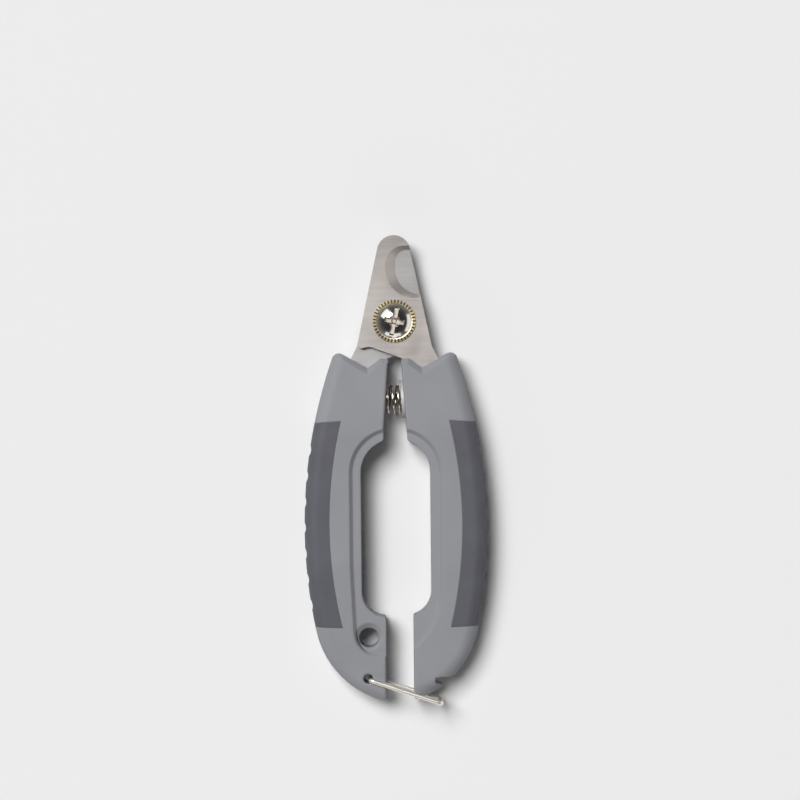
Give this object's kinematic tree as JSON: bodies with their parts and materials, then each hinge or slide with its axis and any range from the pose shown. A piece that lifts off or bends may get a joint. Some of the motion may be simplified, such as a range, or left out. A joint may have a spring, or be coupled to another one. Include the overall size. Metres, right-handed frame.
{
  "type": "scissor nail clipper",
  "caption": "Plier-type pet nail clipper: crossed notched steel blades on a pivot screw, moulded handles with soft ribbed grips, a return spring and a swing-over wire lock.",
  "frame": {"origin": "under the middle of the clipper's bounding box, on the surface that it lies on", "axes": "+Y from the handles to the blade tip, +X to the right-hand handle, +Z from the back to the front with the screw head"},
  "size_m": [0.061, 0.1566, 0.015],
  "materials": {
    "blade_steel": "brushed across the blade",
    "screw_chrome": "polished",
    "washer_brass": "polished",
    "handle_plastic": "fine matte mould texture",
    "grip_rubber": "matte",
    "wire_steel": "bright drawn wire"
  },
  "bodies": {
    "left_side": {"left_handle": "handle_plastic", "left_grip": "grip_rubber", "back_blade": "blade_steel", "pivot_screw": "screw_chrome", "serrated_washer": "washer_brass", "rear_washer": "screw_chrome", "pivot_nut": "screw_chrome", "spring": "wire_steel"},
    "right_side": {"right_handle": "handle_plastic", "right_grip": "grip_rubber", "front_blade": "blade_steel", "spring_cup": "wire_steel"},
    "lock": {"lock_wire": "wire_steel"}
  },
  "joints": [
    {"name": "jaw_pivot", "type": "hinge", "parent": "left_side", "child": "right_side", "pos_m": [0, 0.04962, 0.0075], "axis": [0, 0, 1], "range_deg": [-4, 22], "stiffness_Nm_per_rad": 0.9, "springref_deg": 22.92, "deforming": ["spring"]},
    {"name": "lock_hinge", "type": "hinge", "parent": "left_side", "child": "lock", "pos_m": [-0.00905, -0.06968, 0.0075], "axis": [0, 0, 1], "range_deg": [-150, 18.2]}
  ]
}
